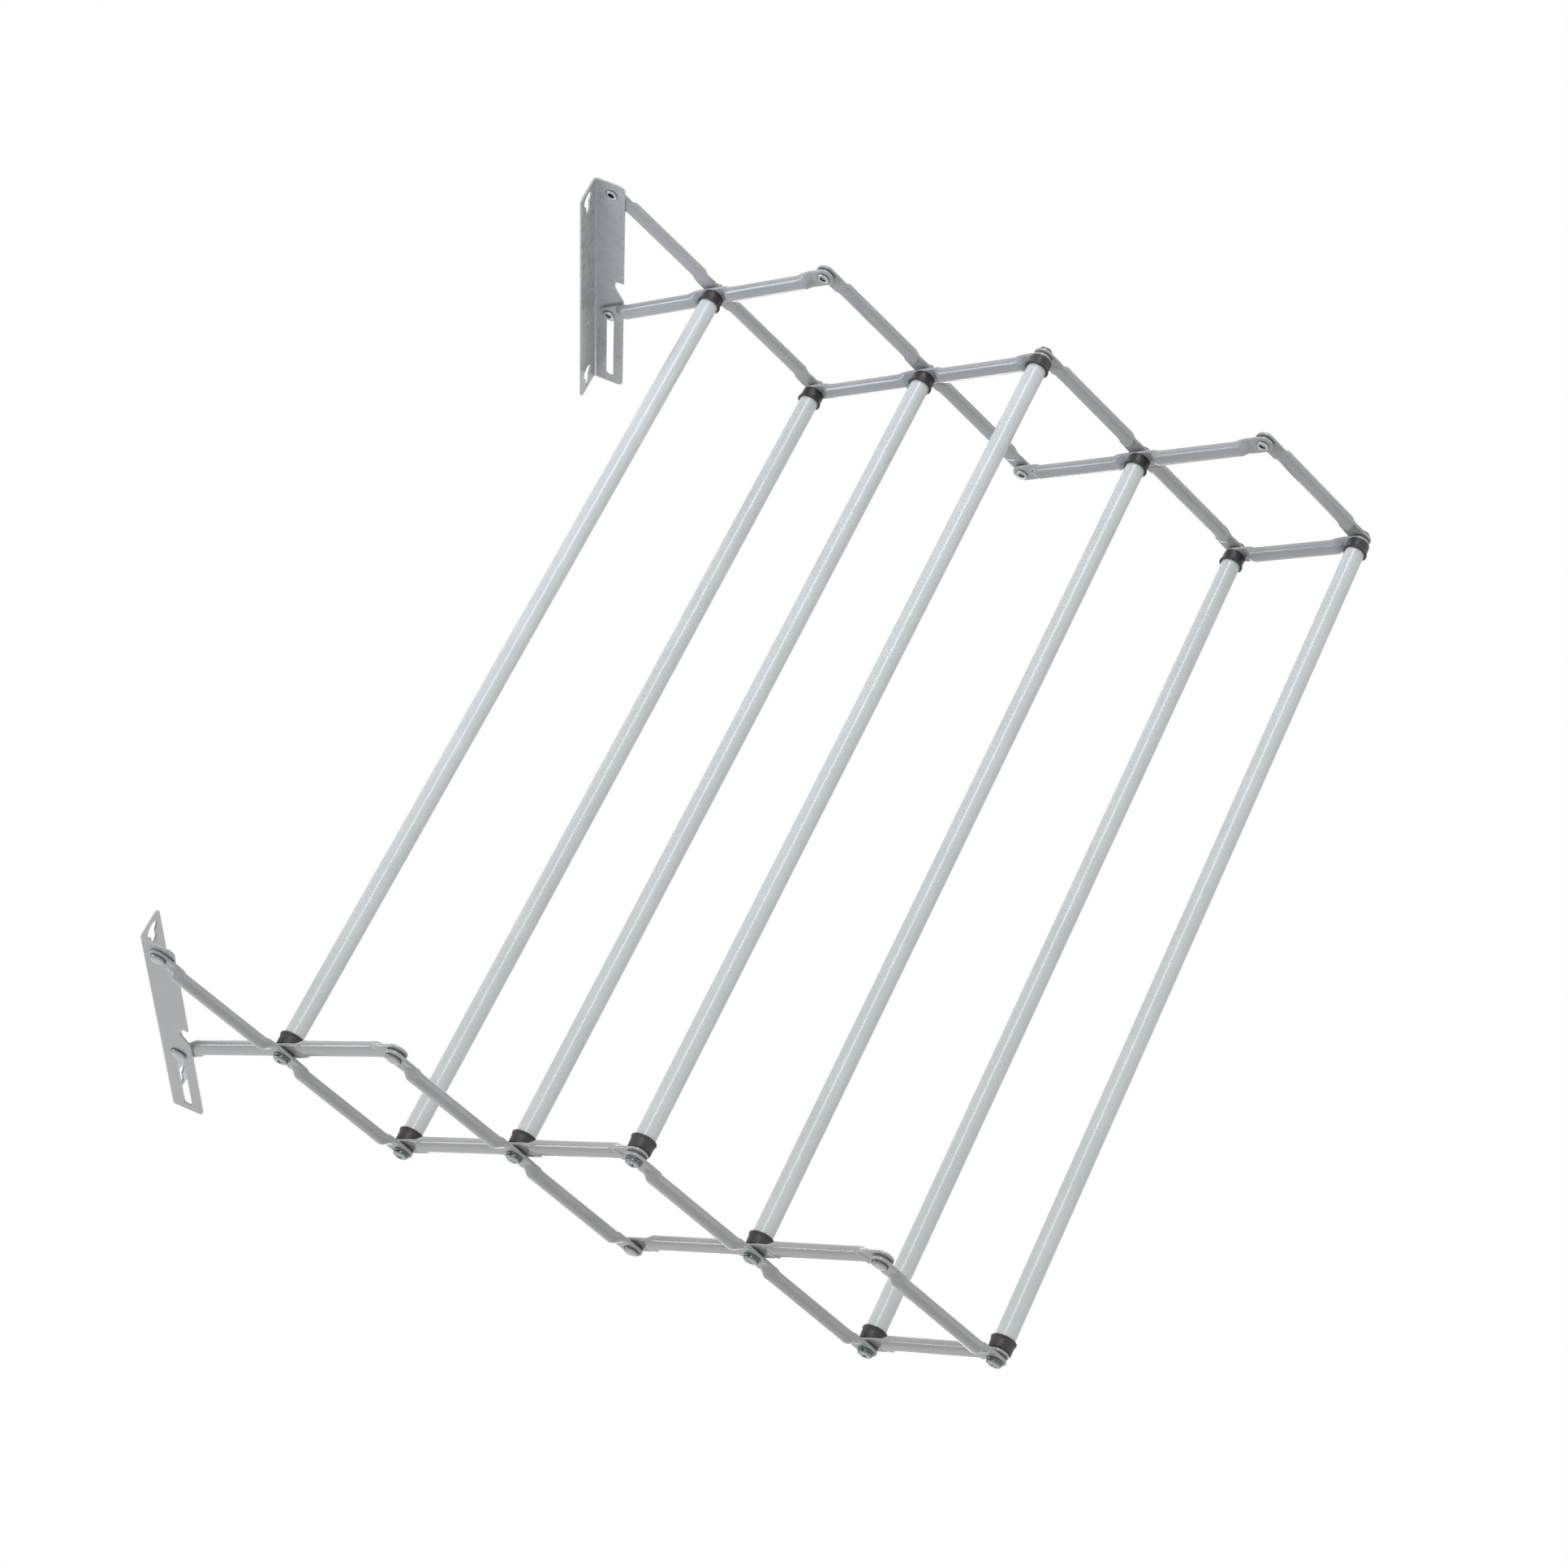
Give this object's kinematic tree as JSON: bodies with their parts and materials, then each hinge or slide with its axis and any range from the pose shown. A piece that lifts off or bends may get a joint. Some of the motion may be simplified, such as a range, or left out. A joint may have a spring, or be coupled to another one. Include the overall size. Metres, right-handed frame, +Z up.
{
  "type": "wall drying rack",
  "caption": "Wall-mounted concertina drying rack: round rails carried by scissor arms that pull out from two slotted angle brackets and fold flat against the wall.",
  "frame": {"origin": "on the wall plane, midway between the two brackets, level with their round middle fixing holes", "axes": "+X along the rails to the right as seen from the room, +Y into the wall, +Z up; the rack opens towards -Y. It is modelled the way up that the keyholes hang it, with the fixed pivots at the foot; the picture shows it turned half over about the Y axis."},
  "size_m": [0.5936, 0.5182, 0.2042],
  "materials": {
    "bracket_coat": "semi-gloss grey powder coat on folded sheet",
    "bar_coat": "semi-gloss grey powder coat on pressed tube",
    "rail_coat": "glossy pale grey coat on drawn tube",
    "bush_plastic": "black moulded plastic",
    "zinc_screw": "bright zinc plate",
    "rivet_steel": "bright zinc plate, pressed",
    "washer_nylon": "dark nylon"
  },
  "bodies": {
    "wall_brackets": {"left_wall_bracket": "bracket_coat", "right_wall_bracket": "bracket_coat", "fixed_pivot_rivets": "rivet_steel"},
    "outer_pair_1": {"left_outer_bar_1": "bar_coat", "right_outer_bar_1": "bar_coat"},
    "inner_pair_1": {"left_inner_bar_1": "bar_coat", "right_inner_bar_1": "bar_coat", "rail_1": "rail_coat", "left_bush_1": "bush_plastic", "right_bush_1": "bush_plastic", "rail_1_screws": "zinc_screw", "sliding_pin_rivets": "rivet_steel", "first_tip_rivets": "rivet_steel", "first_pair_washers": "washer_nylon"},
    "outer_pair_2": {"left_outer_bar_2": "bar_coat", "right_outer_bar_2": "bar_coat"},
    "inner_pair_2": {"left_inner_bar_2": "bar_coat", "right_inner_bar_2": "bar_coat", "rail_2": "rail_coat", "left_bush_2": "bush_plastic", "right_bush_2": "bush_plastic", "rail_2_screws": "zinc_screw", "rail_3": "rail_coat", "left_bush_3": "bush_plastic", "right_bush_3": "bush_plastic", "rail_3_screws": "zinc_screw", "rail_4": "rail_coat", "left_bush_4": "bush_plastic", "right_bush_4": "bush_plastic", "rail_4_screws": "zinc_screw", "second_pair_washers": "washer_nylon"},
    "outer_pair_3": {"left_outer_bar_3": "bar_coat", "right_outer_bar_3": "bar_coat"},
    "inner_pair_3": {"left_inner_bar_3": "bar_coat", "right_inner_bar_3": "bar_coat", "rail_5": "rail_coat", "left_bush_5": "bush_plastic", "right_bush_5": "bush_plastic", "rail_5_screws": "zinc_screw", "second_tip_rivets": "rivet_steel", "third_tip_rivets": "rivet_steel", "third_pair_washers": "washer_nylon"},
    "outer_pair_4": {"left_outer_bar_4": "bar_coat", "right_outer_bar_4": "bar_coat"},
    "inner_pair_4": {"left_inner_bar_4": "bar_coat", "right_inner_bar_4": "bar_coat", "rail_6": "rail_coat", "left_bush_6": "bush_plastic", "right_bush_6": "bush_plastic", "rail_6_screws": "zinc_screw", "rail_7": "rail_coat", "left_bush_7": "bush_plastic", "right_bush_7": "bush_plastic", "rail_7_screws": "zinc_screw", "fourth_pair_washers": "washer_nylon"}
  },
  "joints": [
    {"name": "fold", "type": "hinge", "parent": "wall_brackets", "child": "outer_pair_1", "pos_m": [0, -0.012, -0.125], "axis": [-1, 0, 0], "range_deg": [0, 44]},
    {"name": "first_cross", "type": "hinge", "parent": "outer_pair_1", "child": "inner_pair_1", "pos_m": [0, -0.08324, -0.06522], "axis": [1, 0, 0], "range_deg": [0, 88]},
    {"name": "first_tip", "type": "hinge", "parent": "outer_pair_1", "child": "inner_pair_2", "pos_m": [0, -0.15448, -0.00544], "axis": [1, 0, 0], "range_deg": [0, 88]},
    {"name": "second_cross", "type": "hinge", "parent": "inner_pair_2", "child": "outer_pair_2", "pos_m": [0, -0.22573, -0.06522], "axis": [-1, 0, 0], "range_deg": [0, 88]},
    {"name": "second_tip", "type": "hinge", "parent": "inner_pair_2", "child": "outer_pair_3", "pos_m": [0, -0.29697, -0.125], "axis": [-1, 0, 0], "range_deg": [0, 88]},
    {"name": "third_cross", "type": "hinge", "parent": "outer_pair_3", "child": "inner_pair_3", "pos_m": [0, -0.36821, -0.06522], "axis": [1, 0, 0], "range_deg": [0, 88]},
    {"name": "third_tip", "type": "hinge", "parent": "outer_pair_3", "child": "inner_pair_4", "pos_m": [0, -0.43945, -0.00544], "axis": [1, 0, 0], "range_deg": [0, 88]},
    {"name": "end_cross", "type": "hinge", "parent": "inner_pair_4", "child": "outer_pair_4", "pos_m": [0, -0.51069, -0.06522], "axis": [-1, 0, 0], "range_deg": [0, 88]}
  ],
  "couplings": [
    {"joint": "first_cross", "follows": "fold", "ratio": 2},
    {"joint": "first_tip", "follows": "fold", "ratio": 2},
    {"joint": "second_cross", "follows": "fold", "ratio": 2},
    {"joint": "second_tip", "follows": "fold", "ratio": 2},
    {"joint": "third_cross", "follows": "fold", "ratio": 2},
    {"joint": "third_tip", "follows": "fold", "ratio": 2},
    {"joint": "end_cross", "follows": "fold", "ratio": 2}
  ]
}
